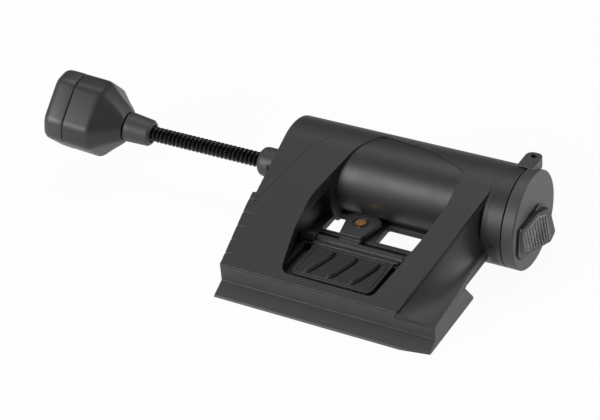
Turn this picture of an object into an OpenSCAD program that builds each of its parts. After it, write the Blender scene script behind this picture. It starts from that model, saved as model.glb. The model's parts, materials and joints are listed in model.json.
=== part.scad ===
// Rail-mounted task light: a one-cell battery tube in a bridge frame with a
// rail foot, a push latch, a rotary dimmer on the battery cap, and a lamp head
// on a bendable arm. Millimetres, +Z up, +X toward the battery cap.
// Origin: centre of the underside of the rail foot.

/* [Foot] */
// foot length along the rail
foot_length = 55.4; // [46:0.1:67]
// foot width across the rail at its underside
foot_width = 23.6; // [20:0.1:29]
// height of the plane where foot and frame meet
foot_top = 5; // [4.2:0.1:5.6]
// setback of the upright front face above the flare
flare_run = 3.9; // [2:0.1:5]
// height of the flare at the front
flare_rise = 2.3; // [1.5:0.1:3.5]
// setback of the undercut rear face at its top
undercut_run = 3.4; // [2:0.1:5]
// depth of the pocket floor above the underside
pocket_floor = 1.8; // [1.2:0.1:2.4]

/* [Tube] */
// outer radius of frame crown, collar and cap
crown_r = 12; // [10:0.1:14.4]
// outer radius of the bare battery tube
tube_r = 9.8; // [9.5:0.1:10.1]
// rise of the bare tube's outside above its bore, toward the crown
tube_rise = 1.2; // [0.8:0.1:1.3]
// radius of the battery bore
bore_r = 7.6; // [7.4:0.05:8]
// distance from the foot's front edge back to the tube axis
tube_back = 42; // [38:0.1:50]
// length of the collar past the frame
collar_length = 3.8; // [3:0.1:5]
// thickness of the cap disc
cap_thick = 2.9; // [2.4:0.1:4]
// cell radius
cell_r = 7.25; // [5:0.05:7.3]
// cell length over the button
cell_length = 50.5; // [40:0.1:50.5]

/* [Frame] */
// plate thickness
plate_thick = 2.2; // [1.6:0.1:3]
// height of the plate's front edge
plate_front_z = 6.9; // [6.5:0.1:8]
// height of the frame's underside behind the foot
under_z = 6; // [5.4:0.1:7]
// floor thickness
floor_thick = 1.6; // [1.2:0.1:2.4]
// wall thickness
wall = 1.8; // [1.2:0.1:2.6]
// length of the low wing at the cap end, at the front
wing_length = 9.4; // [6:0.1:12]

/* [Latch] */
// distance from the foot's front edge back to the latch pivot
pivot_back = 21.9; // [21.5:0.1:23]
// pivot pin radius
pin_r = 0.7; // [0.5:0.05:0.75]
// width of the finger pad
pad_width = 20.8; // [16:0.1:21.4]
// rib spacing on the pad
rib_pitch = 5.8; // [4.5:0.1:6.5]
// sideways lean of the pad's ribs
rib_lean = 2.2; // [0:0.1:4]
// radius of the brass locking pin
lock_r = 1.3; // [0.9:0.05:1.6]

/* [Arm] */
// outer radius of the coiled arm
arm_r = 1.98; // [1.8:0.01:2.3]
// length of the coiled arm between its ferrules
arm_length = 33.1; // [27.6:0.1:39.7]

/* [Head] */
// lamp head length without its neck
head_length = 18.9; // [16.5:0.1:23]
// lamp head width over its flats
head_size = 18.5; // [15.5:0.1:22]
// bezel length
bezel_length = 5.6; // [4:0.1:6]
// upward tilt of the head at rest
head_pitch = 8.7; // [0:0.1:12]
// sideways turn of the head at rest
head_yaw = 6.6; // [0:0.1:12]
// turn of the head about its own axis
head_roll = -43.5; // [-60:0.5:0]

/* [Knob] */
// knob height over the cap face
knob_height = 2.6; // [2.2:0.1:4]
// knob turn seen at rest, clockwise from level
knob_tilt = 18; // [0:1:40]

/* [Hidden] */
$fn = 64;

moving_gap = 0.3;      // between pieces that move past each other
slip = 0.1;            // between a tube and what it slides in
running = 0.06;        // between a shaft and its bore
eps = 0.01;

tube_z = crown_r;                       // the crown just reaches the foot's plane
plate_front_y = flare_run;
reach = norm([tube_back - plate_front_y, tube_z - plate_front_z]);
slope = atan2(tube_z - plate_front_z, tube_back - plate_front_y) + asin(crown_r / reach);
tangent_y = tube_back - crown_r * sin(slope);
tangent_z = tube_z + crown_r * cos(slope);
function plate_z(y) = plate_front_z + (y - plate_front_y) * tan(slope);

win_left = 0.245 * foot_length;         // window, measured from the foot's left end
win_right = 0.8 * foot_length;
win_front = plate_front_y + 1.9;
mid_x = foot_length / 2;

edge_step = 0.9;                        // how far the plate's lower left edge stands out
mark_depth = 0.25;

pivot_z = under_z + 0.95;
hub_r = pin_r + 0.6;
hub_a = mid_x - 11.3;
hub_b = mid_x + 11.3;
pad_top = plate_z(win_front) + 0.2;
strip_front = pivot_back + hub_r + 0.8;  // the bar of floor behind the pivot
pad_thick = 1.7;
pad_front = win_front + 0.7;
pad_back = pad_front + 12.4;
tab_x = mid_x - 3.4;                    // centre of the tab behind the pivot
tab_under = under_z + floor_thick + moving_gap;
tab_thick = 1.6;
tab_back = tube_back - tube_r + 0.2;
lock_y = pivot_back + 6.6;

collar_end = foot_length + collar_length;
cap_a = collar_end + moving_gap;
cap_b = cap_a + cap_thick;
plug_r = crown_r - 2.1;
plug_a = foot_length + 1.1;
cell_b = plug_a + 0.8;
cell_a = cell_b - cell_length;
tube_a = wall + 0.2;
board_a = cell_b + 0.9;
ear_w = 4.1;
ear_thick = 2.8;
ear_out = 9.9;
ear_b = cap_b - 1.5;                    // where the ear ends, short of the cap's face
ear_hole_r = 0.85;

shaft_r = 1.6;
knob_a = cap_b + moving_gap;
knob_base = 1.1;
knob_b = cap_b + knob_height;
knob_r = crown_r - 0.5;
knob_top = 2.2;
knob_bottom = -7.3;
knob_ribs = 8;

arm_y = tube_back - 4;
arm_z = tube_z + 1.2;
arm_count = 14;
turns = 2;
seg = arm_length / arm_count;
pitch = seg / turns;
wire_r = 0.42;
gland_length = 7.6;
gland_r = 3.7;
arm_a = -gland_length;                  // the arm runs from here toward -X
head_n = arm_a - arm_length;            // where the neck begins
neck_length = 6.3;
neck_r = 3.8;
taper = 6;
arm_hole_r = arm_r + 0.44;
head_b = head_n - neck_length;
head_a = head_b - head_length;
bezel_b = head_a + bezel_length;

// a polygon with each corner rounded: points are [x, y, radius]
function corner(p, q, r) =
  let (a = [p[0], p[1]], b = [q[0], q[1]], c = [r[0], r[1]],
       u = (a - b) / norm(a - b), v = (c - b) / norm(c - b),
       half = acos(max(-1, min(1, u * v))) / 2, t = q[2] / tan(half),
       m = b + (u + v) / norm(u + v) * q[2] / sin(half),
       s = b + u * t - m, e = b + v * t - m,
       a0 = atan2(s[1], s[0]), a1 = atan2(e[1], e[0]),
       d = a1 - a0 > 180 ? a1 - a0 - 360 : a1 - a0 < -180 ? a1 - a0 + 360 : a1 - a0)
  q[2] == 0 ? [b] : [for (k = [0:5]) m + q[2] * [cos(a0 + d * k / 5), sin(a0 + d * k / 5)]];
function rounded(p) = [for (i = [0:len(p) - 1])
  each corner(p[(i + len(p) - 1) % len(p)], p[i], p[(i + 1) % len(p)])];

// lengths below are measured from the foot's front left corner
module seat() translate([-foot_length / 2, -foot_width / 2, 0]) children();
// a section drawn in Y and Z, carried along X from a to b
module along(a, b) translate([a, 0, 0]) rotate([90, 0, 90]) linear_extrude(b - a) children();
// the lamp head, tilted and turned about the arm's end
module head_seat() seat() translate([head_n, arm_y, arm_z]) rotate([0, head_pitch, head_yaw])
  translate([-head_n, -arm_y, -arm_z]) children();
// a round bar along X
module bar(a, b, r, y, z) translate([a, y, z]) rotate([0, 90, 0]) cylinder(h = b - a, r = r);
module tube_bar(a, b, r) bar(a, b, r, tube_back, tube_z);
// a section turned round a line along X: points are [radius, x]
module turned(y, z) translate([0, y, z]) rotate([0, 90, 0]) rotate_extrude() children();

// ---------------------------------------------------------------- frame

module window_cut() {
  w = rounded([
    [win_left + 1.6, win_front, 2.2],
    [mid_x + 11.2, win_front, 1.8],
    [win_right - 2.4, 14.2, 0],
    [win_right + 0.2, 22.2, 0],
    [win_right + 1.9, 30, 0],
    [win_right + 2.5, tube_back - 3.4, 1.6],
    [mid_x + 8, tube_back + 1.6, 6],
    [mid_x - 5, tube_back + 3.4, 2.4],
    [mid_x - 9.4, tube_back - 5, 4],
    [win_left, 24.5, 9],
    [win_left, 16, 4]]);
  translate([0, 0, pad_top - 2.5]) linear_extrude(30) polygon(w);
}

module plate() {
  run = plate_front_y + 1.9;
  low = plate_thick / cos(slope);
  along(0, foot_length) polygon([
    [plate_front_y, plate_front_z],
    [tangent_y, tangent_z],
    [tangent_y + 1, tangent_z - 3],
    [run + 4, plate_z(run + 4) - low],
    [run, foot_top],
    [run, foot_top + 1.4],
    [plate_front_y, foot_top + 1.4]]);
}

// the raised plate stops on a slanted line, with the low wing beyond it
module wing_cut() {
  over = 40;
  translate([0, 0, 4]) linear_extrude(40) polygon([
    [foot_length - wing_length, plate_front_y - 1],
    [foot_length - wing_length, plate_front_y],
    [foot_length - 0.9, 35],
    [foot_length - 0.9, over],
    [foot_length + 1, over],
    [foot_length + 1, plate_front_y - 1]]);
}

// the low wing: a hollow curve falling from the plate's slanted edge to the end face
function edge_x(y) = foot_length - wing_length + (y - plate_front_y) * (wing_length - 0.9) / (35 - plate_front_y);
function lip_z(y) = foot_top + 0.5 + 3.6 * pow(max(0, y - plate_front_y) / 26, 1.2);
module wing() {
  ys = [plate_front_y, plate_front_y + 1.95, 7, 10, 13, 16, 19, 20.2, 23, 26, 29, 32, 34];
  steps = 6;
  function section(y) = let (
      low = y < 20 ? foot_top : under_z, inset = y < 6 ? 0.3 : 2.2, x0 = edge_x(y), z0 = plate_z(y) - 0.7, z1 = lip_z(y))
    concat([[x0 - inset, low], [foot_length, low]],
      [for (k = [0:steps]) let (t = k / steps)
        [foot_length + (x0 - foot_length) * t, z1 + (z0 - z1) * t * t]],
      [[x0 - inset, z0]]);
  n = steps + 4;
  m = len(ys);
  polyhedron(
    points = [for (y = ys) for (q = section(y)) [q[0], y, q[1]]],
    faces = concat(
      [[for (k = [0:n - 1]) n - 1 - k]],
      [[for (k = [0:n - 1]) (m - 1) * n + k]],
      [for (i = [0:m - 2]) for (k = [0:n - 1])
        for (f = [[i * n + k, (i + 1) * n + (k + 1) % n, (i + 1) * n + k],
                  [i * n + k, i * n + (k + 1) % n, (i + 1) * n + (k + 1) % n]]) f]));
}

// a wall under the plate, standing on the floor plane
module under_wall(a, b) along(a, b) polygon([
  [plate_front_y + 2, foot_top], [20.2, foot_top], [20.2, under_z], [tube_back - 5, under_z],
  [tube_back - 5, plate_z(tube_back - 7.5) - 1.5], [plate_front_y + 2, plate_z(plate_front_y + 2) - 1]]);

module bridge_frame() color("#2b2c2e") seat() difference() {
  union() {
    difference() {
      union() {
        plate();
        // the lower part of the left edge stands out a little
        intersection() {
          translate([-1, 0, 0]) plate();
          linear_extrude(40) polygon([[0.5, 22.2], [-edge_step, 22], [-edge_step, 18.7], [0, 5], [0.5, 5]]);
        }
        under_wall(0, wall);
        under_wall(win_left - 1.6 - wall, win_left - 1.6);
        tube_bar(0, foot_length, crown_r);
      }
      window_cut();
      wing_cut();
      // setting marks cut in the left edge
      for (k = [0:4]) translate([-edge_step - 0.1, 20.2 - 3.4 * k, plate_z(20.2 - 3.4 * k) - mark_depth])
        rotate([slope, 0, 0]) cube([2.6, 0.35, 3]);
      // the crown is open underneath between its two end rings
      translate([9, tube_back - crown_r - 1, -1]) cube([foot_length - 18, 2 * crown_r + 2, under_z + 1]);
    }
    wing();
    // floor strips either side of the latch and behind it
    difference() {
      translate([0.5, 20.2, under_z]) cube([foot_length - 6, tube_back - 20.2 - 2, floor_thick]);
      translate([mid_x - 12.2, 12, 0]) cube([24.4, strip_front - 12, 20]);
      linear_extrude(20) polygon(rounded([
        [win_left + 1.8, strip_front + 1.3, 0.5], [mid_x - 0.4, strip_front + 1.3, 0.5],
        [mid_x - 0.4, tube_back - 9.5, 0.5], [win_left + 1.8, tube_back - 9.5, 0.5]]));
      linear_extrude(20) polygon(rounded([
        [mid_x + 1.9, strip_front + 1.3, 0.5], [win_right - 2, strip_front + 1.3, 0.5],
        [win_right - 2, tube_back - 9.5, 0.5], [mid_x + 1.9, tube_back - 9.5, 0.5]]));
    }
    // cheeks that carry the pivot pin
    for (a = [hub_a - moving_gap - 3.2, hub_b + moving_gap])
      difference() {
        translate([a, pivot_back - 2.4, foot_top]) cube([3.2, 4.9, pivot_z - foot_top]);
        translate([a - 1, pivot_back - 6, 0]) cube([6, 3, foot_top]);
      }
    for (a = [hub_a - moving_gap - 3.2, hub_b + moving_gap]) bar(a, a + 3.2, hub_r + 0.35, pivot_back, pivot_z);
    // blocks that seat on the foot either side of the pad
    for (a = [win_left - 1.6 - wall, win_right - 4.6])
      translate([a, plate_front_y + 2, foot_top]) cube([4, 22.5 - plate_front_y, 1.7]);
  }
  // tube bore, pin bore, arm gland bore and the foot screws' holes
  bar(wall, foot_length + 1, tube_r + slip, tube_back, tube_z + tube_rise);
  bar(hub_a - 8, hub_b + 8, pin_r + 0.01, pivot_back, pivot_z);
  bar(-1, wall + 1, 2.9 + slip, arm_y, arm_z);
  translate([mid_x - pad_width / 2 - 0.4, pad_front - 0.3, foot_top - 0.1]) cube([pad_width + 0.8, 0.9, 1.4]);
  screw_spots() translate([0, 0, foot_top - 1]) cylinder(h = 2.4, r = 0.8, $fn = 24);
}

module screw_spots() for (x = [win_left - 1.6 - wall + 2, win_right - 2.6], y = [9, 17.5])
  translate([x, y, 0]) children();

module rail_foot() color("#28292b") seat() difference() {
  union() {
    difference() {
      along(0, foot_length) polygon([
        [0, 0], [foot_width, 0], [foot_width, 0.7], [foot_width - undercut_run, foot_top],
        [plate_front_y, foot_top], [plate_front_y, flare_rise], [0.3, 0.4]]);
      // lead-in taper at the cap end
      linear_extrude(20) polygon([
        [foot_length - 7, -1], [foot_length - 7, 0], [foot_length, 1.2], [foot_length + 1, 1.2],
        [foot_length + 1, -1]]);
    }
    // lip in front of the plate's edge
    along(0, foot_length - wing_length - 0.4) polygon([
      [plate_front_y, foot_top - 1], [plate_front_y + 1.8, foot_top - 1],
      [plate_front_y + 1.8, foot_top + 1.3], [plate_front_y, foot_top + 1.3]]);
  }
  // pocket under the latch
  translate([0, 0, pocket_floor]) linear_extrude(20) polygon(rounded([
    [mid_x - 11.4, win_front, 1], [mid_x + 11.4, win_front, 1],
    [mid_x + 11.4, foot_width - undercut_run - 1.6, 1],
    [mid_x - 11.4, foot_width - undercut_run - 1.6, 1]]));
  screw_spots() {
    translate([0, 0, -1]) cylinder(h = 10, r = 1.15, $fn = 24);
    translate([0, 0, -1]) cylinder(h = 2.4, r = 2.1, $fn = 32);
  }
}

module foot_screws() color("#8a8c90") seat() screw_spots() difference() {
  union() {
    translate([0, 0, 0.15]) cylinder(h = 1.25, r = 1.95, $fn = 32);
    translate([0, 0, 1]) cylinder(h = foot_top, r = 0.8 - 0.02, $fn = 24);
  }
  for (t = [0, 90]) rotate(t) translate([-1.1, -0.25, -1]) cube([2.2, 0.5, 1.9]);
}

// ---------------------------------------------------------------- battery

module battery_tube() color("#222325") seat() difference() {
  union() {
    bar(tube_a, foot_length + 0.2, tube_r, tube_back, tube_z + tube_rise);
    tube_bar(foot_length + 0.1, collar_end, crown_r);
  }
  tube_bar(tube_a + 1.4, foot_length + 1, bore_r);
  tube_bar(foot_length + 1, collar_end + 1, plug_r + slip);
  // lead passage to the arm
  bar(0, tube_a + 2, 1.2, arm_y, arm_z);
  // drain slot in the collar
  translate([foot_length + 1, tube_back, tube_z]) rotate([18, 0, 0])
    translate([0, -crown_r - 1, -3.2]) cube([1.5, 1.7, 6]);
}

module cell_can() color("#5a6a8c") seat() tube_bar(cell_a, cell_b - 1.1, cell_r);
module cell_button() color("#b8b8b4") seat() tube_bar(cell_b - 1.1, cell_b, 2.6);

module cell_spring() color("#9a9ca0") seat() {
  a = tube_a + 2;
  n = 3;
  step = (cell_a - a) / n;
  for (k = [0:n - 1]) turned(tube_back, tube_z)
    translate([5.2 - k * 0.9, a + step * (k + 0.5)]) circle(r = step / 2, $fn = 20);
}

module rear_contact() color("#c9a25a") seat() tube_bar(tube_a + 1.4, tube_a + 2, 6.4);

module arm_gland() color("#2b2c2e") seat() {
  difference() {
    turned(arm_y, arm_z) polygon([
      [0, wall - 0.1], [2.9, wall - 0.1], [2.9, 0], [2.9, -0.8], [gland_r, -0.8],
      [gland_r, 1.1 - gland_length], [gland_r - 0.2, 0.4 - gland_length],
      [gland_r - 0.6, -gland_length], [0, -gland_length]]);
    bar(-gland_length - 1, wall + 1, 0.9, arm_y, arm_z);
    bar(-gland_length - 1, 0.2 - gland_length, arm_hole_r, arm_y, arm_z);
    // spanner flats
    for (s = [-1, 1]) translate([-4.4, arm_y + (s > 0 ? gland_r - 0.45 : -gland_r - 0.55), arm_z - 5])
      cube([3, 1, 10]);
  }
}

module gland_washer() color("#151515") seat() difference() {
  bar(-0.8, 0, gland_r + 0.1, arm_y, arm_z);
  bar(-1, 1, 2.9 + 0.05, arm_y, arm_z);
}

// ---------------------------------------------------------------- latch

module pivot_pin() color("#9a9ca0") seat()
  bar(hub_a - moving_gap - 3, hub_b + moving_gap + 3, pin_r, pivot_back, pivot_z);

module latch_lever() color("#2f3033") seat() difference() {
  union() {
    bar(hub_a, hub_b, hub_r, pivot_back, pivot_z);
    // pad and web
    translate([0, 0, pad_top - pad_thick]) linear_extrude(pad_thick) polygon(rounded([
      [mid_x - pad_width / 2, pad_front, 1.4], [mid_x + pad_width / 2, pad_front, 1.4],
      [mid_x + pad_width / 2, pad_back, 0.4], [mid_x - pad_width / 2, pad_back, 0.4]]));
    translate([hub_a + 0.2, pad_back - 1, pad_top - pad_thick])
      cube([hub_b - hub_a - 0.4, pivot_back - pad_back + 0.6, pad_thick - 0.5]);
    // raised edge behind the pad
    translate([hub_a + 0.2, pad_back - 0.1, pad_top - 1]) cube([hub_b - hub_a - 0.4, 0.9, 1.2]);
    // ribs
    for (k = [-1:1]) translate([mid_x + k * rib_pitch, 0, 0]) hull() {
      translate([-rib_lean / 2, pad_front + 2.1, pad_top - 0.5]) cylinder(h = 1.3, r1 = 1.15, r2 = 0.65, $fn = 16);
      translate([rib_lean / 2, pad_back - 3.1, pad_top - 0.5]) cylinder(h = 1.3, r1 = 1.15, r2 = 0.65, $fn = 16);
    }
  }
  bar(0, foot_length, pin_r + running, pivot_back, pivot_z);
  // seat for the return spring
  translate([mid_x, pad_front + 6, pad_top - pad_thick - 1]) cylinder(h = 1.4, r = 2.1, $fn = 32);
}

module latch_tab() color("#1f2329") seat() difference() {
  union() {
    translate([0, 0, tab_under]) linear_extrude(tab_thick) polygon([
      [tab_x - 2.8, pivot_back + 1.1], [tab_x + 2.8, pivot_back + 1.1],
      [tab_x + 4.4, lock_y + 2.2], [tab_x + 2.2, tab_back], [tab_x - 2.2, tab_back],
      [tab_x - 4.4, lock_y + 2.2]]);
    // foot of the tab, down onto the hub
    translate([tab_x - 2.6, pivot_back + 0.2, pivot_z + 0.4])
      cube([5.2, hub_r + 0.2, tab_under - pivot_z]);
  }
  bar(0, foot_length, hub_r, pivot_back, pivot_z);
  translate([tab_x, lock_y, 0]) cylinder(h = 20, r = lock_r + 0.01);
  translate([tab_x, lock_y, tab_under + tab_thick - 0.35]) cylinder(h = 2, r = lock_r + 0.85);
}

module lock_pin() color("#b5793f") seat() translate([tab_x, lock_y, 0]) {
  translate([0, 0, 3.2]) cylinder(h = 0.7, r1 = lock_r - 0.5, r2 = lock_r);
  translate([0, 0, 3.9 - eps]) cylinder(h = tab_under + tab_thick - 3.9 + 0.2, r = lock_r);
}

module latch_spring() color("#9a9ca0") seat() translate([mid_x, pad_front + 6, 0]) {
  low = pocket_floor;
  high = pad_top - pad_thick + 0.4;
  n = 4;
  step = (high - low) / n;
  for (k = [0:n - 1]) translate([0, 0, low + step * (k + 0.5)]) rotate_extrude()
    translate([1.6, 0]) circle(r = min(0.3, step / 2), $fn = 20);
  for (k = [0:n - 2]) rotate(k * 90) translate([1.6, 0, low + step * (k + 0.5)])
    cylinder(h = step, r = 0.25, $fn = 16);
  translate([1.6, 0, low]) cylinder(h = step / 2, r = 0.25, $fn = 16);
  translate([-1.6, 0, high - step / 2]) cylinder(h = step / 2, r = 0.25, $fn = 16);
}

// ---------------------------------------------------------------- cap and dimmer

module battery_cap() color("#323335") seat() difference() {
  union() {
    turned(tube_back, tube_z) polygon([
      [0, cap_b], [crown_r - 0.25, cap_b], [crown_r, cap_b - 0.25], [crown_r, cap_a],
      [plug_r, cap_a], [plug_r, plug_a], [0, plug_a]]);
    // lanyard ear, level with the crown and pointing back
    difference() {
      translate([0, 0, tube_z + crown_r - ear_thick]) linear_extrude(ear_thick - 0.1)
        polygon(rounded([
          [ear_b - ear_w, tube_back + 3, 0], [ear_b, tube_back + 3, 0],
          [ear_b, tube_back + ear_out, 1.7], [ear_b - ear_w, tube_back + ear_out, 1.7]]));
      tube_bar(ear_b - ear_w - 1, cap_a, crown_r + moving_gap);
      translate([ear_b - ear_w / 2, tube_back + ear_out - 1.5, 0]) cylinder(h = 40, r = ear_hole_r, $fn = 32);
    }
  }
  // hollow of the plug, with a deeper seat for the dimmer
  tube_bar(plug_a - 1, cap_a - 0.2, plug_r - 1.5);
  tube_bar(plug_a - 1, cap_a + 1.3, 4.6);
  tube_bar(plug_a, cap_b + 1, shaft_r + running);
  // groove for the seal
  turned(tube_back, tube_z) translate([plug_r - 0.75, foot_length + 1.9]) square([1, 1.4]);
}

module cap_oring() color("#101010") seat() turned(tube_back, tube_z)
  translate([plug_r - 0.35, foot_length + 2.6]) circle(r = 0.39, $fn = 24);

module cap_contact() color("#c9a25a") seat() difference() {
  tube_bar(cell_b, board_a, 2.2);
  tube_bar(cell_b - 1, cell_b + 0.4, 1.2);
}
module cap_board() color("#2c5a3c") seat() tube_bar(board_a, board_a + 0.8, plug_r - 1.6);
module dimmer_pot() color("#3a3f46") seat() difference() {
  tube_bar(board_a + 0.8, cap_a + 1.2, 4.5);
  tube_bar(board_a + 1.4, cap_b, shaft_r + running);
}

module knob_outline(inset) intersection() {
  circle(r = knob_r - inset, $fn = 96);
  translate([-20, knob_bottom + inset]) square([40, knob_top - knob_bottom - 2 * inset]);
}
module on_cap(a, h) translate([a, tube_back, tube_z]) rotate([90, 0, 90])
  rotate(-knob_tilt) linear_extrude(h) children();

module knob_shaft() color("#8a8c90") seat()
  tube_bar(board_a + 1.6, knob_a + 1, shaft_r);

module knob_bar() color("#1d1e20") seat() difference() {
  union() {
    on_cap(knob_a, knob_base) intersection() {
      knob_outline(0);
      translate([-20, -20]) square([29.6, 40]);
    }
    on_cap(knob_a + knob_base - 0.1, knob_b - knob_a - knob_base - 0.3) intersection() {
      knob_outline(0.7);
      translate([-20, -20]) square([28.4, 40]);
    }
  }
  tube_bar(knob_a - 1, knob_a + 1, shaft_r + 0.01);
}

module knob_pad() color("#4a4b4d") seat() {
  a = knob_b - 0.6;
  span = 14.6;
  on_cap(a + 0.2, 0.15) intersection() {
    knob_outline(1.1);
    translate([-span / 2 - 1, -20]) square([span, 40]);
  }
  for (k = [0:knob_ribs - 1]) on_cap(a + 0.3, 0.3) intersection() {
    knob_outline(1.3);
    translate([-span / 2 - 1 + span * (k + 0.25) / knob_ribs, -20]) square([span / knob_ribs / 2, 40]);
  }
}

// ---------------------------------------------------------------- arm

// one link of the coiled arm: two turns of round wire on a thin core
module arm_link(i) color("#6d6e72") seat() {
  b = arm_a - i * seg;
  clear = 0.16;
  core = arm_r - 2 * wire_r;
  turned(arm_y, arm_z) union() {
    translate([0.55, b - seg + clear]) square([core - 0.4, seg - 2 * clear]);
    for (k = [0:turns - 1]) translate([arm_r - wire_r, b - pitch * (k + 0.5)]) circle(r = wire_r, $fn = 20);
  }
}

// ---------------------------------------------------------------- head

module octagon(s, c) polygon([
  [-s / 2 + c, -s / 2], [s / 2 - c, -s / 2], [s / 2, -s / 2 + c], [s / 2, s / 2 - c],
  [s / 2 - c, s / 2], [-s / 2 + c, s / 2], [-s / 2, s / 2 - c], [-s / 2, -s / 2 + c]]);
module slice(x, s, c, t = 0.05) translate([0, arm_y, arm_z]) along(x, x + t) rotate(head_roll) octagon(s, c);
chamfer = head_size * 0.2;
head_rear = head_size;

module head_neck() color("#2b2c2e") head_seat() {
  turned(arm_y, arm_z) polygon([
    [0.8, head_n - 0.16], [arm_hole_r, head_n - 0.16], [arm_hole_r, head_n + 0.8],
    [neck_r - 0.9, head_n + 0.8], [neck_r - 0.4, head_n + 0.2],
    [neck_r, head_b + 1.2], [neck_r, head_b + 0.3], [neck_r - 0.9, head_b + 0.3],
    [neck_r - 0.9, head_b - 2.5], [0.8, head_b - 2.5]]);
}

module head_shell() color("#303134") head_seat() difference() {
  union() {
    hull() {
      slice(bezel_b + 0.1, head_size - 0.2, chamfer);
      slice(head_b - taper, head_rear, chamfer * 1.05);
    }
    hull() {
      slice(head_b - taper, head_rear, chamfer * 1.05);
      slice(head_b - 0.05, neck_r * 2 + 1.2, neck_r * 0.6);
    }
  }
  bar(bezel_b - 1, head_b - taper - 0.6, head_size / 2 - 2, arm_y, arm_z);
  bar(bezel_b - 1, head_b + 1, neck_r - 0.9 + 0.02, arm_y, arm_z);
}

module head_bezel() color("#3a3b3e") head_seat() difference() {
  union() {
    hull() {
      slice(head_a, head_size - 1.2, chamfer);
      slice(head_a + 0.8, head_size, chamfer);
    }
    translate([0, arm_y, arm_z]) along(head_a + 0.8, bezel_b - 0.1) rotate(head_roll) octagon(head_size, chamfer);
    bar(bezel_b - 0.2, bezel_b + 1.6, head_size / 2 - 2 - 0.05, arm_y, arm_z);
  }
  bar(head_a - 1, bezel_b + 3, head_size / 2 - 3.4, arm_y, arm_z);
  bar(head_a + 1, bezel_b + 3, head_size / 2 - 2.7, arm_y, arm_z);
}

module head_lens() color("#dfe8ee") head_seat()
  bar(head_a + 1.6, head_a + 2.8, head_size / 2 - 2.7 - 0.05, arm_y, arm_z);

module lens_gasket() color("#101010") head_seat() difference() {
  bar(head_a + 1, head_a + 1.6, head_size / 2 - 2.7 - 0.05, arm_y, arm_z);
  bar(head_a, head_a + 3, head_size / 2 - 3.5, arm_y, arm_z);
}

module reflector() color("#d8dadc") head_seat() turned(arm_y, arm_z) polygon([
  [head_size / 2 - 2.8, head_a + 2.9], [head_size / 2 - 2.8, head_a + 3.6], [2.9, bezel_b + 3.4],
  [1.9, bezel_b + 3.4], [head_size / 2 - 3.8, head_a + 2.9]]);

module led_chip() color("#e8d27a") head_seat()
  translate([bezel_b + 2.7, arm_y - 1.2, arm_z - 1.2]) cube([0.7, 2.4, 2.4]);
module led_board() color("#e6e6e2") head_seat() bar(bezel_b + 3.4, bezel_b + 4.4, head_size / 2 - 2.6, arm_y, arm_z);
module heat_slug() color("#a9abae") head_seat()
  bar(bezel_b + 4.4, head_b - taper - 0.6, head_size / 2 - 2 - 0.05, arm_y, arm_z);

bridge_frame();
rail_foot();
foot_screws();
battery_tube();
cell_can();
cell_button();
cell_spring();
rear_contact();
arm_gland();
gland_washer();
pivot_pin();
latch_spring();
latch_lever();
latch_tab();
lock_pin();
battery_cap();
cap_oring();
cap_contact();
cap_board();
dimmer_pot();
knob_shaft();
knob_bar();
knob_pad();
arm_link(0);  // arm_01
arm_link(1);  // arm_02
arm_link(2);  // arm_03
arm_link(3);  // arm_04
arm_link(4);  // arm_05
arm_link(5);  // arm_06
arm_link(6);  // arm_07
arm_link(7);  // arm_08
arm_link(8);  // arm_09
arm_link(9);  // arm_10
arm_link(10);  // arm_11
arm_link(11);  // arm_12
arm_link(12);  // arm_13
arm_link(13);  // arm_14
head_neck();
head_shell();
head_bezel();
head_lens();
lens_gasket();
reflector();
led_board();
led_chip();
heat_slug();
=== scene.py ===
import json
import math
import bmesh
import bpy
from mathutils import Matrix, Vector


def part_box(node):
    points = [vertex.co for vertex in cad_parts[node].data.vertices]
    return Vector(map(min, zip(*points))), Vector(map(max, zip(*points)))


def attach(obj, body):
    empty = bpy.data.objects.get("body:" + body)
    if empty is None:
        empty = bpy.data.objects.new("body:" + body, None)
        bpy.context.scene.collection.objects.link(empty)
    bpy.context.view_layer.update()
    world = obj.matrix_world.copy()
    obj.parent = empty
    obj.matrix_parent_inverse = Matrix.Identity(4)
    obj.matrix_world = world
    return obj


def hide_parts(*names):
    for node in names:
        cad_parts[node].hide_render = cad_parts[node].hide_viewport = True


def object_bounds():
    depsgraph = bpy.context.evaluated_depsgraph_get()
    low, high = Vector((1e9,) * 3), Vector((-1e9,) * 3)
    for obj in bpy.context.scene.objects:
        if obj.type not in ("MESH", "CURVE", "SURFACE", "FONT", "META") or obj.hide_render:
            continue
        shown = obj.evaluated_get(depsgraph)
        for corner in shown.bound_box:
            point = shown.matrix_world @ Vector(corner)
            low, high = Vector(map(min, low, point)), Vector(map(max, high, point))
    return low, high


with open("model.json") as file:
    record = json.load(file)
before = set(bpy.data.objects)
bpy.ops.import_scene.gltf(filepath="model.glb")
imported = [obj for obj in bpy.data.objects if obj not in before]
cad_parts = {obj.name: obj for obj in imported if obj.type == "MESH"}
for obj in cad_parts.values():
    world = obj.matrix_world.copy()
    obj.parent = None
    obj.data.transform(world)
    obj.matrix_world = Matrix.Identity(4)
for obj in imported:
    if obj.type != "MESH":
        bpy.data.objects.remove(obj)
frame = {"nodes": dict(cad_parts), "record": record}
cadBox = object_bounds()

mm = 0.001
nodes = frame["nodes"]
record = frame["record"]
slotOf = {entry["node"]: entry["material_slot"] for entry in record["subparts"]}
bodyOf = {node: body for body, held in record["behaviour"]["bodies"].items() for node in held}


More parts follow.
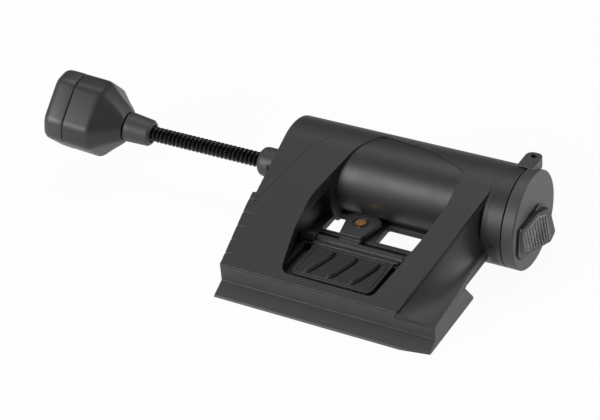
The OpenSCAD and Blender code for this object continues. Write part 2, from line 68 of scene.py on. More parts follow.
class Wire:
    # wraps one socket, so that sums on it add Math nodes
    def __init__(self, finish, socket):
        self.finish = finish
        self.socket = socket

    def sum(self, operation, first, second):
        return self.finish.node("ShaderNodeMath", {"operation": operation}, {0: first, 1: second})

    def __add__(self, other):
        return self.sum("ADD", self, other)

    def __radd__(self, other):
        return self.sum("ADD", other, self)

    def __sub__(self, other):
        return self.sum("SUBTRACT", self, other)

    def __rsub__(self, other):
        return self.sum("SUBTRACT", other, self)

    def __mul__(self, other):
        return self.sum("MULTIPLY", self, other)

    def __rmul__(self, other):
        return self.sum("MULTIPLY", other, self)


class Finish:
    # one material and the nodes in it
    def __init__(self, name):
        self.material = bpy.data.materials.new(name)
        self.material.use_nodes = True
        self.tree = self.material.node_tree
        self.tree.nodes.clear()

    def node(self, kind, settings=None, sockets=None, out=0):
        made = self.tree.nodes.new(kind)
        for key, value in (settings or {}).items():
            if key == "stops":  # a ramp's stops, as (place, grey)
                while len(made.color_ramp.elements) < len(value):
                    made.color_ramp.elements.new(0.5)
                for stop, (place, grey) in zip(made.color_ramp.elements, value):
                    stop.position = place
                    stop.color = (grey, grey, grey, 1)
            else:
                setattr(made, key, value)
        for key, value in (sockets or {}).items():
            if isinstance(value, Wire):
                self.tree.links.new(value.socket, made.inputs[key])
            else:
                made.inputs[key].default_value = value
        return Wire(self, made.outputs[out]) if made.outputs else None

    def place(self):
        return self.node("ShaderNodeTexCoord", out="Object")

    def stretched(self, scale):
        return self.node("ShaderNodeVectorMath", {"operation": "MULTIPLY"},
                         {0: self.place(), 1: scale})

    def noise(self, scale, detail=3.0, rough=0.55, vector=None):
        return self.node("ShaderNodeTexNoise", None, {
            "Vector": vector or self.place(), "Scale": scale, "Detail": detail, "Roughness": rough})

    def ramp(self, value, stops):
        return self.node("ShaderNodeValToRGB", {"stops": stops}, {"Fac": value})

    def blendColour(self, mask, first, second):
        return self.node("ShaderNodeMix", {"data_type": "RGBA"},
                         {0: mask, 6: first, 7: second}, out=2)

    def bump(self, height, distance, strength=1.0, after=None):
        sockets = {"Height": height, "Distance": distance, "Strength": strength}
        if after:
            sockets["Normal"] = after
        return self.node("ShaderNodeBump", None, sockets)

    def softened(self, radius):
        return self.node("ShaderNodeBevel", {"samples": 6}, {"Radius": radius})

    def edges(self, soft):
        # nearly 1 along an edge, 0 on a flat face
        gain = 6.0
        plain = self.node("ShaderNodeNewGeometry", out="Normal")
        meet = self.node("ShaderNodeVectorMath", {"operation": "DOT_PRODUCT"},
                         {0: soft, 1: plain}, out="Value")
        return self.node("ShaderNodeMath", {"operation": "MULTIPLY", "use_clamp": True},
                         {0: 1 - meet, 1: gain})

    def surface(self, **sockets):
        words = {key.replace("_", " "): value for key, value in sockets.items()}
        bsdf = self.node("ShaderNodeBsdfPrincipled", None, words)
        self.node("ShaderNodeOutputMaterial", None, {"Surface": bsdf})
        return self.material


def grey(value, warm=0.0):
    return (value * (1 + warm), value, value * (1 - warm), 1)


# moulded plastic: soft edges, fine grain, scuffs and a painted highlight along the edges
mouldedSettings = {
    "grain": 3800.0,       # fine spark-eroded grain, about a quarter of a millimetre
    "grainDepth": 0.016 * mm,
    "cloud": 160.0,        # slow change of tone across a face
    "streak": (900.0, 70.0, 70.0),
    "streakStops": [(0.56, 0), (0.74, 1)],
    "speck": 1300.0,
    "speckStops": [(0.66, 0), (0.74, 1)],
    "highlightPatch": 420.0,          # patches along the edges where a painted highlight lightens the colour
    "highlightStops": [(0.35, 0.15), (0.65, 1)],
    "edge": 0.26 * mm,     # how far each moulded edge is rounded
    "tones": (0.86, 1.45, 2.6),  # clean, dusty and painted edge highlight, times the plastic's own tone
    "dust": (0.35, 0.5, 0.35),   # from cloud, streak and speck
    "relief": (0.4, 0.25),       # height of specks and streaks against the grain
    "gloss": (0.16, 0.12, 0.12, 0.06),  # how cloud, grain, the highlighted edges and streak change the roughness
}


def moulded(name, tone, warm=0.0, rough=0.5, grain=1.0, scuffs=0.5):
    s = mouldedSettings
    f = Finish(name)
    soft = f.softened(s["edge"])
    cloud = f.noise(s["cloud"], 4.0)
    fine = f.noise(s["grain"], 2.0, 0.6)
    streak = f.ramp(f.noise(1.0, 5.0, 0.7, f.stretched(s["streak"])), s["streakStops"])
    speck = f.ramp(f.noise(s["speck"], 2.0, 0.5), s["speckStops"])
    # painted highlight: edges made lighter in noise patches
    edgeHighlight = f.edges(soft) * f.ramp(f.noise(s["highlightPatch"], 4.0), s["highlightStops"])
    byCloud, byStreak, bySpeck = s["dust"]
    dusty = cloud * byCloud + streak * (byStreak * scuffs) + speck * (bySpeck * scuffs)
    clean, pale, highlit = s["tones"]
    colour = f.blendColour(dusty, grey(tone * clean, warm), grey(tone * pale, warm))
    colour = f.blendColour(edgeHighlight, colour, grey(tone * highlit, warm))
    inCloud, inGrain, inHighlight, inStreak = s["gloss"]
    roughness = rough + (cloud - 0.5) * inCloud + (fine - 0.5) * inGrain - edgeHighlight * inHighlight + streak * inStreak
    speckTall, streakTall = s["relief"]
    surfaceGrain = f.bump(fine + speck * speckTall + streak * streakTall, s["grainDepth"] * grain, 0.9, soft)
    return f.surface(Base_Color=colour, Roughness=roughness, Normal=surfaceGrain)


steelSettings = {
    "drawn": (500.0, 2600.0, 2600.0), "drawnDepth": 0.006 * mm,
    "grime": 650.0, "grimeStops": [(0.4, 0), (0.7, 1)], "grimeTone": 0.4,
}


def wireSteel(name, tone, rough):
    s = steelSettings
    f = Finish(name)
    drawn = f.noise(1.0, 4.0, 0.6, f.stretched(s["drawn"]))
    grime = f.ramp(f.noise(s["grime"], 4.0), s["grimeStops"])
    colour = f.blendColour(grime, grey(tone), grey(tone * s["grimeTone"]))
    roughness = rough + (drawn - 0.5) * 0.25 + grime * 0.12
    return f.surface(Base_Color=colour, Metallic=1.0, Roughness=roughness,
                     Normal=f.bump(drawn, s["drawnDepth"], 0.7))


rubberSettings = {
    "dust": 700.0, "dustStops": [(0.45, 0), (0.8, 1)], "dustTone": 1.7,
    "pebble": 2600.0, "pebbleDepth": 0.02 * mm,
}


def rubber(name, tone, rough=0.72):
    s = rubberSettings
    f = Finish(name)
    dust = f.ramp(f.noise(s["dust"], 5.0, 0.65), s["dustStops"])
    pebble = f.noise(s["pebble"], 3.0)
    colour = f.blendColour(dust, grey(tone), grey(tone * s["dustTone"]))
    return f.surface(Base_Color=colour, Roughness=rough + (pebble - 0.5) * 0.2 + dust * 0.08,
                     Normal=f.bump(pebble, s["pebbleDepth"], 0.8))


turnedSettings = {
    "lathe": (300.0, 5200.0, 5200.0), "latheDepth": 0.008 * mm,
    "tarnish": 520.0, "tarnishStops": [(0.45, 0), (0.75, 1)],
}


def turnedMetal(name, colour, dark, rough=0.28):
    s = turnedSettings
    f = Finish(name)
    lathe = f.noise(1.0, 3.0, 0.5, f.stretched(s["lathe"]))
    tarnish = f.ramp(f.noise(s["tarnish"], 4.0), s["tarnishStops"])
    roughness = rough + tarnish * 0.2 + (lathe - 0.5) * 0.18
    return f.surface(Base_Color=f.blendColour(tarnish, colour, dark), Metallic=1.0, Roughness=roughness,
                     Normal=f.bump(lathe, s["latheDepth"], 0.6))


glassSettings = {"tint": (0.96, 0.98, 1.0, 1), "haze": 500.0, "ripple": 260.0, "rippleDepth": 0.004 * mm}


def clearGlass(name):
    s = glassSettings
    f = Finish(name)
    haze = f.noise(s["haze"], 3.0)
    ripple = f.bump(f.noise(s["ripple"], 2.0), s["rippleDepth"], 0.3)
    return f.surface(Base_Color=s["tint"], Roughness=0.03 + haze * 0.05, IOR=1.49,
                     Transmission_Weight=1.0, Normal=ripple)


mirrorSettings = {
    "dull": (0.86, 0.87, 0.88, 1), "bright": (0.94, 0.94, 0.94, 1), "ripple": 900.0, "rippleDepth": 0.02 * mm,
}


def mirrored(name):
    s = mirrorSettings
    f = Finish(name)
    ripple = f.noise(s["ripple"], 3.0)
    colour = f.blendColour(ripple, s["dull"], s["bright"])
    return f.surface(Base_Color=colour, Metallic=1.0, Roughness=0.08 + ripple * 0.08,
                     Normal=f.bump(ripple, s["rippleDepth"], 0.4))


def coated(name, colour, second, rough=0.3, scale=900.0, depth=0.01 * mm):
    f = Finish(name)
    patch = f.noise(scale, 4.0)
    return f.surface(Base_Color=f.blendColour(patch, colour, second), Roughness=rough + (patch - 0.5) * 0.2,
                     Normal=f.bump(patch, depth, 0.6))


finishes = {
    "frame_plastic": moulded("frameMoulded", 0.020, -0.01, 0.50),
    "foot_plastic": moulded("footMoulded", 0.034, -0.01, 0.52, scuffs=0.7),
    "tube_plastic": moulded("tubeMoulded", 0.018, -0.01, 0.46, grain=0.6),
    "gland_plastic": moulded("glandMoulded", 0.034, -0.01, 0.5),
    "latch_plastic": moulded("latchMoulded", 0.016, -0.02, 0.5, grain=0.8),
    "tab_plastic": moulded("tabMoulded", 0.034, -0.10, 0.42, grain=0.6),
    # the cap's tone is raised over the frame's to paint the light that falls on its end face
    "cap_plastic": moulded("capMouldedPaintedLight", 0.045, -0.01, 0.5),
    "knob_plastic": moulded("knobMoulded", 0.004, -0.01, 0.46),
    "head_plastic": moulded("headMoulded", 0.018, -0.01, 0.44, grain=0.6),
    "bezel_plastic": moulded("bezelMoulded", 0.034, -0.01, 0.42, grain=0.6),
    "pot_body": coated("potCase", grey(0.03), grey(0.05)),
    "circuit_board": coated("boardMask", (0.01, 0.10, 0.04, 1), (0.02, 0.15, 0.06, 1)),
    "led_board": coated("boardWhite", grey(0.72), grey(0.8)),
    "led_chip": coated("ledPhosphor", (0.85, 0.66, 0.16, 1), (0.9, 0.76, 0.3, 1), 0.4, 3000.0),
    "cell_sleeve": coated("cellSleeve", (0.10, 0.14, 0.26, 1), (0.13, 0.18, 0.32, 1), 0.25),
    "pad_rubber": rubber("padRubber", 0.15),
    "seal_rubber": rubber("sealRubber", 0.012, 0.6),
    "lens_glass": clearGlass("lensClear"),
    "reflector_metal": mirrored("reflectorBright"),
    "brass": turnedMetal("brassTurned", (0.78, 0.43, 0.20, 1), (0.42, 0.20, 0.09, 1)),
    "nickel": turnedMetal("nickelPlate", grey(0.62, 0.03), grey(0.4, 0.03), 0.2),
    "spring_steel": wireSteel("springWire", 0.45, 0.3),
    "pin_steel": wireSteel("pinGround", 0.5, 0.26),
    "screw_steel": wireSteel("screwZinc", 0.42, 0.34),
    "arm_steel": wireSteel("armWire", 0.035, 0.30),
    "heat_slug": turnedMetal("slugTurned", grey(0.68), grey(0.55), 0.35),
}
print("finishes made:", len(finishes))

for name, obj in nodes.items():
    obj.data.materials.clear()
    obj.data.materials.append(finishes[slotOf[name]])
print("finishes laid on", len(nodes), "nodes")


def newPiece(name, verts, faces, slotName, body, sharp=35):
    mesh = bpy.data.meshes.new(name)
    mesh.from_pydata([tuple(v) for v in verts], [], faces)
    mesh.validate()
    bm = bmesh.new()
    bm.from_mesh(mesh)
    bmesh.ops.recalc_face_normals(bm, faces=bm.faces)  # every face outward
    bm.to_mesh(mesh)
    bm.free()
    mesh.shade_smooth()
    mesh.set_sharp_from_angle(angle=math.radians(sharp))
    obj = bpy.data.objects.new(name, mesh)
    bpy.context.scene.collection.objects.link(obj)
    mesh.materials.append(finishes[slotName])
    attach(obj, body)
    return obj


def skin(rings, closed=False):
    # joins rings of equal length into a skin of quads, with both ends filled unless it closes on itself
    count = len(rings[0])
    verts = [v for ring in rings for v in ring]
    faces = []
    last = len(rings) if closed else len(rings) - 1
    for i in range(last):
        a, b = i * count, ((i + 1) % len(rings)) * count
        for k in range(count):
            n = (k + 1) % count
            faces.append((a + k, a + n, b + n, b + k))
    if not closed:
        faces.append(tuple(range(count)))
        faces.append(tuple((len(rings) - 1) * count + k for k in range(count))[::-1])
    return verts, faces


# arm: each link is two turns of round wire on a dark liner
armSettings = {
    "wire": 0.44, "sides": 10, "stepsPerTurn": 28, "turns": 2,
    "liner": 1.2, "linerSides": 24, "linerGap": 0.02,
}


def makeArm(s):
    links = sorted(n for n in nodes if n.startswith("arm_") and n[4:].isdigit())
    pitch = (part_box(links[0])[0][0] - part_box(links[1])[0][0]) / s["turns"]
    along = Vector((1, 0, 0))
    for index, node in enumerate(links):
        low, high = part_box(node)
        centre = (Vector(low) + Vector(high)) / 2
        radius = (high[2] - low[2]) / 2 - s["wire"] * mm
        start = centre.x + pitch * s["turns"] / 2
        rings = []
        for k in range(s["stepsPerTurn"] * s["turns"] + 1):
            turn = 2 * math.pi * k / s["stepsPerTurn"]
            out = Vector((0, math.cos(turn), math.sin(turn)))
            spot = Vector((start - pitch * k / s["stepsPerTurn"], centre.y, centre.z)) + out * radius
            angles = [2 * math.pi * j / s["sides"] for j in range(s["sides"])]
            rings.append([spot + (out * math.cos(a) + along * math.sin(a)) * s["wire"] * mm for a in angles])
        coil = newPiece("armCoil%02d" % (index + 1), *skin(rings), "arm_steel", bodyOf[node])
        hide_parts(node)
        reach = s["liner"] * mm
        angles = [2 * math.pi * j / s["linerSides"] for j in range(s["linerSides"])]
        liner = [[Vector((x, centre.y + reach * math.cos(a), centre.z + reach * math.sin(a))) for a in angles]
                 for x in (low[0] + s["linerGap"] * mm, high[0] - s["linerGap"] * mm)]
        newPiece("armLiner%02d" % (index + 1), *skin(liner), "seal_rubber", bodyOf[node])
    print("arm coiled in", len(links), "links")


makeArm(armSettings)


# lamp head: rounded eight-sided body and bezel, tilted on the arm's end
headSettings = {
    "pitch": 8.7, "yaw": 6.6, "roll": -43.5, "size": 18.5, "neck": 7.6, "gap": 0.16,
    "back": -6.3, "shoulder": -12.3, "seam": -19.6, "front": -25.2,
    "corner": 1.5, "cornerSteps": 6, "chamfer": 0.2, "lensInset": 2.75,
    "shell": [  # along from, by, width from, by, chamfer, corner
        ("seam", 0.3, "size", -7.4, 0.2, 0.6),
        ("seam", 0.3, "size", -1.2, 0.2, 1.0),
        ("seam", 0.02, "size", -0.6, 0.2, 1.0),
        ("seam", 0.04, "size", -0.34, 0.2, 1.0),
        ("seam", 0.2, "size", -0.14, 0.2, 1.0),
        ("seam", 0.5, "size", -0.1, 0.2, 1.0),
        ("seam", 3.5, "size", -0.04, 0.2, 1.0),
        ("shoulder", -1.3, "size", 0.0, 0.2, 1.0),
        ("shoulder", -0.5, "size", -0.08, 0.2, 1.0),
        ("shoulder", 0.1, "size", -0.5, 0.2, 1.0),
        ("shoulder", 0.8, "size", -1.5, 0.2, 1.0),
        ("shoulder", 3.2, "size", -5.6, 0.22, 0.9),
        ("back", -1.0, "neck", 2.7, 0.27, 0.7),
        ("back", -0.3, "neck", 1.5, 0.3, 0.6),
        ("back", 0.0, "neck", 0.9, 0.3, 0.6),
        ("back", 0.0, "neck", -1.0, 0.3, 0.5),
    ],
    "bezelOutside": [  # along from, by, width by
        ("seam", -0.1, -1.4), ("seam", -0.1, -0.4), ("seam", -0.2, -0.12), ("seam", -0.5, 0.0),
        ("front", 1.9, -0.1), ("front", 0.9, -0.5), ("front", 0.3, -1.3), ("front", 0.02, -2.6),
    ],
    "bezelInside": [  # along from, by, lens radius by
        ("front", 0.05, 0.8), ("front", 0.25, 0.1), ("front", 0.95, -0.3), ("front", 1.0, -0.6),
        ("front", 1.55, -0.6), ("front", 1.6, 0.05), ("front", 2.9, 0.05), ("seam", -0.1, 0.05),
    ],
}


def headPose(s):
    low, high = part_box("arm_14")
    end = Vector((low[0] - s["gap"] * mm, (low[1] + high[1]) / 2, (low[2] + high[2]) / 2))
    yaw = Matrix.Rotation(math.radians(s["yaw"]), 4, "Z")
    pitch = Matrix.Rotation(math.radians(s["pitch"]), 4, "Y")
    return Matrix.Translation(end) @ yaw @ pitch


def makeHead(s):
    pose = headPose(s)
    steps = s["cornerSteps"]

    def ring(x, width, ratio=s["chamfer"], corner=1.0):
        # eight rounded corners in millimetres round the head's own axis
        h, c, rad = width / 2, width * ratio, s["corner"] * corner
        points = [(h - c, -h), (h, -h + c), (h, h - c), (h - c, h),
                  (c - h, h), (-h, h - c), (-h, c - h), (c - h, -h)]
        loop = []
        for i, p in enumerate(points):
            p = Vector(p)
            before = (Vector(points[i - 1]) - p).normalized()
            after = (Vector(points[(i + 1) % 8]) - p).normalized()
            for k in range(steps):
                t = k / (steps - 1)
                loop.append(p + before * rad * (1 - t) ** 2 + after * rad * t ** 2)
        roll = Matrix.Rotation(math.radians(s["roll"]), 2)
        return [pose @ (Vector((x, *(roll @ q))) * mm) for q in loop]

    def circle(x, radius):
        # as many points as a ring, but round, each near the ring's own
        nudge = 0.42
        loop = []
        for i in range(8):
            for k in range(steps):
                a = math.radians(-90 + 22.5 + 45 * i + 45 * (k / steps - nudge) + s["roll"])
                loop.append(pose @ (Vector((x, radius * math.cos(a), radius * math.sin(a))) * mm))
        return loop

    shell = newPiece("lampBody", *skin([
        ring(s[start] + by, s[width] + more, ratio, corner)
        for start, by, width, more, ratio, corner in s["shell"]
    ]), "head_plastic", bodyOf["head_shell"], 40)
    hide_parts("head_shell")

    lens = s["size"] / 2 - s["lensInset"]
    outside = [ring(s[start] + by, s["size"] + more) for start, by, more in s["bezelOutside"]]
    inside = [circle(s[start] + by, lens + more) for start, by, more in s["bezelInside"]]
    bezel = newPiece("lampBezel", *skin(outside + inside, closed=True),
                     "bezel_plastic", bodyOf["head_bezel"], 40)
    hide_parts("head_bezel")
    print("lamp head shaped")


makeHead(headSettings)


# frame: a smooth skin over the low wing at the cap end
frameSettings = {
    "left": -27.7, "front": -11.8, "length": 55.4, "edge": 3.9, "edgeZ": 6.9, "slope": 25.8146,
    "wing": 9.4, "wingEnd": 0.9, "back": 35, "run": 33.9, "inset": 0.02,
    "drop": 0.7,  # from the plate's top to the wing's inner edge
    "low": 5.5, "lowRise": 3.6, "lowRun": 26, "lowCurve": 1.2,
    "lift": 0.16, "thin": 0.05, "belly": 0.2, "across": 18, "along": 40,
}


def plateHeight(s, y):
    return s["edgeZ"] + (y - s["edge"]) * math.tan(math.radians(s["slope"]))


def makeWing(s):
    outer = s["length"] - s["inset"]
    rings = []
    for k in range(s["along"] + 1):
        y = s["edge"] + s["inset"] + (s["run"] - s["edge"]) * k / s["along"]
        narrowing = (y - s["edge"]) * (s["wing"] - s["wingEnd"]) / (s["back"] - s["edge"])
        inner = s["length"] - s["wing"] + narrowing + 0.03
        top = plateHeight(s, y) - s["drop"]
        low = s["low"] + s["lowRise"] * max(0, (y - s["edge"]) / s["lowRun"]) ** s["lowCurve"]
        over, under = [], []
        for i in range(s["across"] + 1):
            t = i / s["across"]
            x = s["left"] + outer + (inner - outer) * t
            z = low + (top - low) * t * t
            over.append(Vector((x, s["front"] + y, z + s["lift"])) * mm)
            under.append(Vector((x, s["front"] + y, z - s["belly"] * (1 - t) ** 0.5 - s["thin"])) * mm)
        rings.append(over + under[::-1])
    newPiece("wingSkin", *skin(rings), "frame_plastic", "frame", 50)
    print("wing skinned")


makeWing(frameSettings)


def bead(name, path, radius, slotName, body, flat=1.0, closed=False, sides=10):
    # a thin round bead swept along a path of points, in millimetres
    rings = []
    count = len(path)
    for i, p in enumerate(path):
        before = path[(i - 1) % count] if closed or i else p
        after = path[(i + 1) % count] if closed or i < count - 1 else p
        way = (after - before).normalized()
        side = way.cross(Vector((0, 0, 1))).normalized()
        over = side.cross(way)
        ring = []
        for k in range(sides):
            a = 2 * math.pi * k / sides
            ring.append((p + side * radius * math.cos(a) + over * radius * flat * math.sin(a)) * mm)
        rings.append(ring)
    return newPiece(name, *skin(rings, closed=closed), slotName, body)


# latch: rounded ribs and a fine border on the finger pad
padSettings = {
    "top": 8.02, "x": (-10.4, 10.4), "y": (-5.3, 7.1), "inset": 0.9, "corner": 1.3,
    "bead": 0.13, "beadFlat": 0.9, "ribs": (-5.8, 0.0, 5.8), "ribFrom": (-1.1, -3.2), "ribTo": (1.1, 4.0),
    "ribWide": 1.2, "ribTall": 0.84, "ribLonger": 0.2, "ribSink": 0.02,
    "ribSteps": 24, "ribSides": 20, "ribBlunt": 5, "ribTip": 0.02,
}


def roundedLoop(x, y, corner, z, steps=7):
    loop = []
    for cx, cy, start in ((x[1] - corner, y[0] + corner, -90), (x[1] - corner, y[1] - corner, 0),
                          (x[0] + corner, y[1] - corner, 90), (x[0] + corner, y[0] + corner, 180)):
        for k in range(steps):
            a = math.radians(start + 90 * k / (steps - 1))
            loop.append(Vector((cx + corner * math.cos(a), cy + corner * math.sin(a), z)))
    return loop


def makePad(s):
    x, y, d = s["x"], s["y"], s["inset"]
    loop = roundedLoop((x[0] + d, x[1] - d), (y[0] + d, y[1] - d), s["corner"], s["top"])
    bead("padBorder", loop, s["bead"], "latch_plastic", "latch", s["beadFlat"], closed=True)
    up = Vector((0, 0, 1))
    for index, middleX in enumerate(s["ribs"]):
        a, b = (Vector((middleX + sideways, depth, s["top"] - s["ribSink"]))
                for sideways, depth in (s["ribFrom"], s["ribTo"]))
        way = (b - a).normalized()
        side = way.cross(up)
        reach = (b - a).length / 2 + s["ribWide"] + s["ribLonger"]
        rings = []
        for k in range(s["ribSteps"] + 1):
            t = -math.cos(math.pi * k / s["ribSteps"])
            spot = (a + b) / 2 + way * reach * t
            swell = max(s["ribTip"], 1 - abs(t) ** s["ribBlunt"]) ** 0.5
            wide, tall = s["ribWide"] * swell, s["ribTall"] * swell
            angles = [2 * math.pi * j / s["ribSides"] for j in range(s["ribSides"])]
            rings.append([(spot + side * wide * math.cos(q) + up * tall * math.sin(q)) * mm for q in angles])
        newPiece("padRib%d" % (index + 1), *skin(rings), "latch_plastic", "latch", 60)
    print("pad dressed")


makePad(padSettings)


# knob: wedge-shaped body on a thin base, ribbed pad on its slope
knobSettings = {
    "axis": (30.2, 12.0), "left": -27.7, "low": 63.15, "high": 64.58, "start": -8.2, "rise": 0.155,
    "base": [(-9.2, 3.1), (2.3, 3.4), (6.4, 0.6), (9.0, -7.2), (7.2, -9.4), (-7.9, -6.0), (-10.0, -3.5)],
    "top": [(-8.8, 2.5), (-1.4, 3.4), (4.5, 1.4), (7.9, -7.4), (5.3, -8.6), (-6.4, -5.3), (-8.5, -3.6)],
    "pad": [(-8.2, 1.7), (-1.6, 2.8), (2.1, 1.2), (4.5, -7.2), (4.0, -7.5), (-6.3, -4.4), (-7.4, -3.2)],
    "face": 62.4, "corner": 0.7,
    # each ring is an outline, how far in it is drawn, and its height over the face or the slope
    "foot": [("base", 0, 0.04), ("base", 0, 0.42), ("base", 0.14, 0.55), ("top", -0.12, 0.56)],
    "wedge": [("top", 0, -0.22), ("top", 0.2, -0.02), ("top", 0.5, 0.0)],
    "grip": [("pad", 0, -0.1), ("pad", 0, 0.08), ("pad", 0.16, 0.16)],
    "ribs": 9, "ribSlant": (0.26, -0.966), "ribRadius": 0.24, "ribInset": 0.55, "ribLift": 0.16, "ribSteps": 6,
}


def softCorners(points, radius, steps=5):
    loop = []
    for i, p in enumerate(points):
        p = Vector(p)
        before, after = Vector(points[i - 1]) - p, Vector(points[(i + 1) % len(points)]) - p
        reach = min(radius, before.length * 0.45, after.length * 0.45)
        for k in range(steps):
            t = k / (steps - 1)
            loop.append(p + before.normalized() * reach * (1 - t) ** 2 + after.normalized() * reach * t ** 2)
    return loop


def shrunk(points, by):
    centre = sum((Vector(p) for p in points), Vector((0, 0))) / len(points)
    return [centre + (Vector(p) - centre) * (1 - by / (Vector(p) - centre).length) for p in points]


def makeKnob(s):
    def slopeAt(y):
        return min(s["high"], s["low"] + max(0, y - s["start"]) * s["rise"])

    def ring(outline, inward, above, onSlope=True):
        points = shrunk(s[outline], inward) if inward else s[outline]
        return [Vector(((slopeAt(q[0]) if onSlope else s["face"]) + above + s["left"],
                        s["axis"][0] + q[0], s["axis"][1] + q[1])) * mm
                for q in softCorners(points, s["corner"])]

    foot = [ring(*row, onSlope=False) for row in s["foot"]]
    wedge = [ring(*row) for row in s["wedge"]]
    body = newPiece("knobBody", *skin(foot + wedge), "knob_plastic", bodyOf["knob_bar"], 35)
    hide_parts("knob_bar")
    pad = newPiece("knobGrip", *skin([ring(*row) for row in s["grip"]]), "pad_rubber", bodyOf["knob_pad"], 35)
    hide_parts("knob_pad")
    way = Vector(s["ribSlant"]).normalized()
    across = Vector((-way.y, way.x))
    outline = shrunk(s["pad"], s["ribInset"])
    spans = [p.dot(across) for p in outline]
    for k in range(s["ribs"]):
        level = min(spans) + (max(spans) - min(spans)) * (k + 0.5) / s["ribs"]
        ends = []  # where this rib's line meets the pad's outline
        for i, a in enumerate(outline):
            b = outline[(i + 1) % len(outline)]
            da, db = a.dot(across) - level, b.dot(across) - level
            if da * db < 0:
                ends.append(a + (b - a) * da / (da - db))
        if len(ends) == 2:
            path = []
            for t in range(s["ribSteps"] + 1):
                q = ends[0] + (ends[1] - ends[0]) * t / s["ribSteps"]
                path.append(Vector((slopeAt(q.x) + s["ribLift"] + s["left"],
                                    s["axis"][0] + q.x, s["axis"][1] + q.y)))
            bead("gripRib%d" % (k + 1), path, s["ribRadius"], "pad_rubber", bodyOf["knob_pad"])
    print("knob shaped")


makeKnob(knobSettings)


# tube and window: fuller sleeve under the window, a wall down from its left edge,
# the collar carried in to the plate's edge, a dark sheet in it painted as the shade of its slot and a fine
# crease over the plate
windowSettings = {
    "sleeve": 10.3, "centre": (30.3, 13.4), "from": -16.2, "to": 24.5, "turn": (62, 236), "sleeveThick": 0.25,
    "wallX": -14.35, "wallThick": 0.35, "wallFloor": 6.9,
    "wallFront": 7.4, "wallRun": 18.0, "wallDrop": 1.7, "wallLean": 0.9, "wallSteps": 30,
    "crown": (30.2, 12.0), "crownR": 12.0,
    "blend": (26.65, 27.85), "blendTurn": (75, 262), "blendFrom": -0.5, "blendTo": -0.02,
    "slot": (28.6, 30.3), "slotTurn": (186, 216), "slotFrom": -0.4, "slotTo": 0.02, "slotSteps": 12,
    "crease": [(-14.6, 28.8), (-16.9, 27.0), (-18.9, 25.2), (-21.3, 22.0),
               (-23.4, 17.1), (-25.8, 10.8), (-27.5, 7.4)],
    "creaseRadius": 0.09, "creaseSink": 0.035, "creaseSteps": 8,
}


def hoop(x, centre, outside, inside, turn, steps):
    # one end of a curved strip along x: the outer arc and back along the inner one
    angles = [math.radians(turn[0] + (turn[1] - turn[0]) * k / steps) for k in range(steps + 1)]
    spots = [(outside, a) for a in angles] + [(inside, a) for a in angles[::-1]]
    return [Vector((x, centre[0] + r * math.cos(a), centre[1] + r * math.sin(a))) * mm for r, a in spots]


def makeWindow(s):
    radius = s["crownR"]
    sleeve = [hoop(x, s["centre"], s["sleeve"], s["sleeve"] - s["sleeveThick"], s["turn"], 60)
              for x in (s["from"], s["to"])]
    newPiece("tubeSleeve", *skin(sleeve), "tube_plastic", "frame", 40)

    rings = []
    for k in range(s["wallSteps"] + 1):
        t = k / s["wallSteps"]
        y = s["wallFront"] + s["wallRun"] * k / s["wallSteps"]
        top = plateHeight(frameSettings, y - frameSettings["front"]) - s["wallDrop"]
        near = s["wallX"] - s["wallLean"] * t ** 2
        far = near - s["wallThick"]
        corners = (near, s["wallFloor"]), (near, top), (far, top), (far, s["wallFloor"])
        rings.append([Vector((x, y, z)) * mm for x, z in corners])
    newPiece("windowWall", *skin(rings), "frame_plastic", "frame", 40)

    blend = [hoop(x, s["crown"], radius + s["blendTo"], radius + s["blendFrom"], s["blendTurn"], 60)
             for x in s["blend"]]
    newPiece("collarBlend", *skin(blend), "frame_plastic", "frame", 40)
    # painted shade: a thin dark sheet where the collar's slot is
    slot = [hoop(x, s["crown"], radius + s["slotTo"], radius + s["slotFrom"], s["slotTurn"], s["slotSteps"])
            for x in s["slot"]]
    newPiece("collarSlotShade", *skin(slot), "seal_rubber", "frame", 40)

    path = []
    crownY, crownZ = s["crown"]
    bend = crownY - radius * math.sin(math.radians(frameSettings["slope"]))  # where the plate meets the crown
    for (xa, ya), (xb, yb) in zip(s["crease"], s["crease"][1:]):
        for k in range(s["creaseSteps"]):
            t = k / s["creaseSteps"]
            x, y = xa + (xb - xa) * t, ya + (yb - ya) * t
            if y > bend:
                z = crownZ + math.sqrt(max(0, radius ** 2 - (y - crownY) ** 2))
            else:
                z = plateHeight(frameSettings, y - frameSettings["front"])
            path.append(Vector((x, y, z - s["creaseSink"])))
    bead("plateCrease", path, s["creaseRadius"], "frame_plastic", "frame")
    print("window dressed")


makeWindow(windowSettings)


# studio: pale floor, white surround, three soft lamps
studio = {
    "floor": 0.82, "floorPale": 1.04, "floorPatch": 14.0, "floorGrain": 900.0, "floorRadius": 1.6,
    "floorLift": 0.95, "floorShine": 0.9, "worldLevel": 0.20,
    "lamps": [  # place, aim, width, height, watts
        ((0.55, 0.42, 0.10), (0.02, 0.0, 0.01), 0.35, 0.18, 3.0),
        ((-0.10, 0.25, 0.75), (0.0, 0.0, 0.0), 0.6, 0.4, 2.2),
        ((-0.24, -0.34, 0.20), (-0.03, 0.0, 0.0), 0.26, 0.22, 1.9),
    ],
}


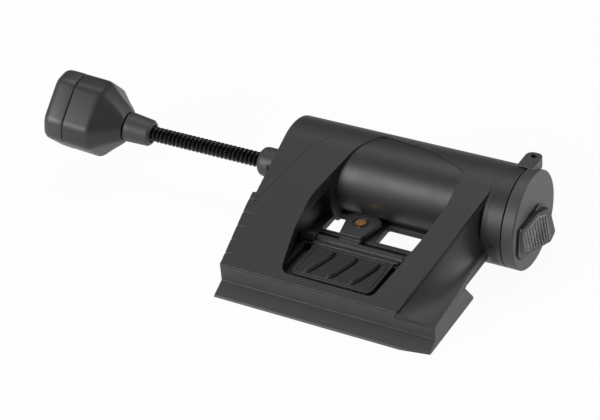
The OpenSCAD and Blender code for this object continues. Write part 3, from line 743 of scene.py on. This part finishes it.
def makeStudio(s):
    f = Finish("floorPale")
    patch = f.noise(s["floorPatch"], 3.0)
    tone = f.blendColour(patch, grey(s["floor"]), grey(s["floor"] * s["floorPale"]))
    matt = f.node("ShaderNodeBsdfPrincipled", None, {
        "Base Color": tone, "Roughness": 0.85, "Specular IOR Level": 0.1,
        "Normal": f.bump(f.noise(s["floorGrain"]), 0.01 * mm, 0.3)})
    white = f.node("ShaderNodeEmission", None, {"Color": (1, 1, 1, 1), "Strength": 1.0})
    camera = f.node("ShaderNodeLightPath", out="Is Camera Ray")
    glossy = f.node("ShaderNodeLightPath", out="Is Glossy Ray")
    seen = camera * s["floorLift"] + glossy * s["floorShine"]
    both = f.node("ShaderNodeMixShader", None, {0: seen, 1: matt, 2: white})
    f.node("ShaderNodeOutputMaterial", None, {"Surface": both})
    bm = bmesh.new()
    bmesh.ops.create_circle(bm, cap_ends=True, radius=s["floorRadius"], segments=96)
    mesh = bpy.data.meshes.new("floor")
    bm.to_mesh(mesh)
    bm.free()
    mesh.materials.append(f.material)
    floor = bpy.data.objects.new("floor", mesh)
    floor.location.z = cadBox[0][2] - 0.02 * mm
    bpy.context.scene.collection.objects.link(floor)

    world = bpy.data.worlds.new("surround")
    world.use_nodes = True
    tree = world.node_tree
    tree.nodes.clear()
    path = tree.nodes.new("ShaderNodeLightPath")
    most = tree.nodes.new("ShaderNodeMath")
    most.operation = "MAXIMUM"
    tree.links.new(path.outputs["Is Camera Ray"], most.inputs[0])
    tree.links.new(path.outputs["Is Transmission Ray"], most.inputs[1])
    lit = tree.nodes.new("ShaderNodeBackground")
    lit.inputs["Strength"].default_value = s["worldLevel"]
    shown = tree.nodes.new("ShaderNodeBackground")
    shown.inputs["Strength"].default_value = 1.0
    for one in (lit, shown):
        one.inputs["Color"].default_value = (1, 1, 1, 1)
    mix = tree.nodes.new("ShaderNodeMixShader")
    out = tree.nodes.new("ShaderNodeOutputWorld")
    tree.links.new(most.outputs[0], mix.inputs[0])
    tree.links.new(lit.outputs[0], mix.inputs[1])
    tree.links.new(shown.outputs[0], mix.inputs[2])
    tree.links.new(mix.outputs[0], out.inputs["Surface"])
    bpy.context.scene.world = world

    for index, (spot, aim, wide, tall, power) in enumerate(s["lamps"]):
        data = bpy.data.lights.new("softbox%d" % index, "AREA")
        data.shape = "RECTANGLE"
        data.size, data.size_y, data.energy = wide, tall, power
        lamp = bpy.data.objects.new("softbox%d" % index, data)
        lamp.location = spot
        lamp.rotation_euler = (Vector(aim) - Vector(spot)).to_track_quat("-Z", "Y").to_euler()
        bpy.context.scene.collection.objects.link(lamp)
    bpy.context.scene.view_settings.view_transform = "Standard"
    print("studio lit")


makeStudio(studio)


cameraSettings = {
    "azimuth": 31.607, "elevation": 34.0, "roll": -4.659, "distance": 0.44527,
    "target": (-0.016403, 0.016955, 0.010), "lens": 112.26, "sensor": 36,
    "shiftX": -0.0218, "shiftY": -0.0030, "clip": (0.01, 10),
}


def makeCamera(s):
    az, el, roll = (math.radians(s[key]) for key in ("azimuth", "elevation", "roll"))
    back = Vector((math.sin(az) * math.cos(el), -math.cos(az) * math.cos(el), math.sin(el)))
    right = Vector((math.cos(az), math.sin(az), 0))
    up = back.cross(right)
    across = right * math.cos(roll) + up * math.sin(roll)
    over = up * math.cos(roll) - right * math.sin(roll)
    turn = Matrix((across, over, back)).transposed().to_4x4()
    data = bpy.data.cameras.new("camera")
    data.lens = s["lens"]
    data.sensor_width = s["sensor"]
    data.shift_x, data.shift_y = s["shiftX"], s["shiftY"]
    data.clip_start, data.clip_end = s["clip"]
    camera = bpy.data.objects.new("camera", data)
    camera.matrix_world = Matrix.Translation(Vector(s["target"]) + back * s["distance"]) @ turn
    bpy.context.scene.collection.objects.link(camera)
    bpy.context.scene.camera = camera
    print("camera set")


makeCamera(cameraSettings)
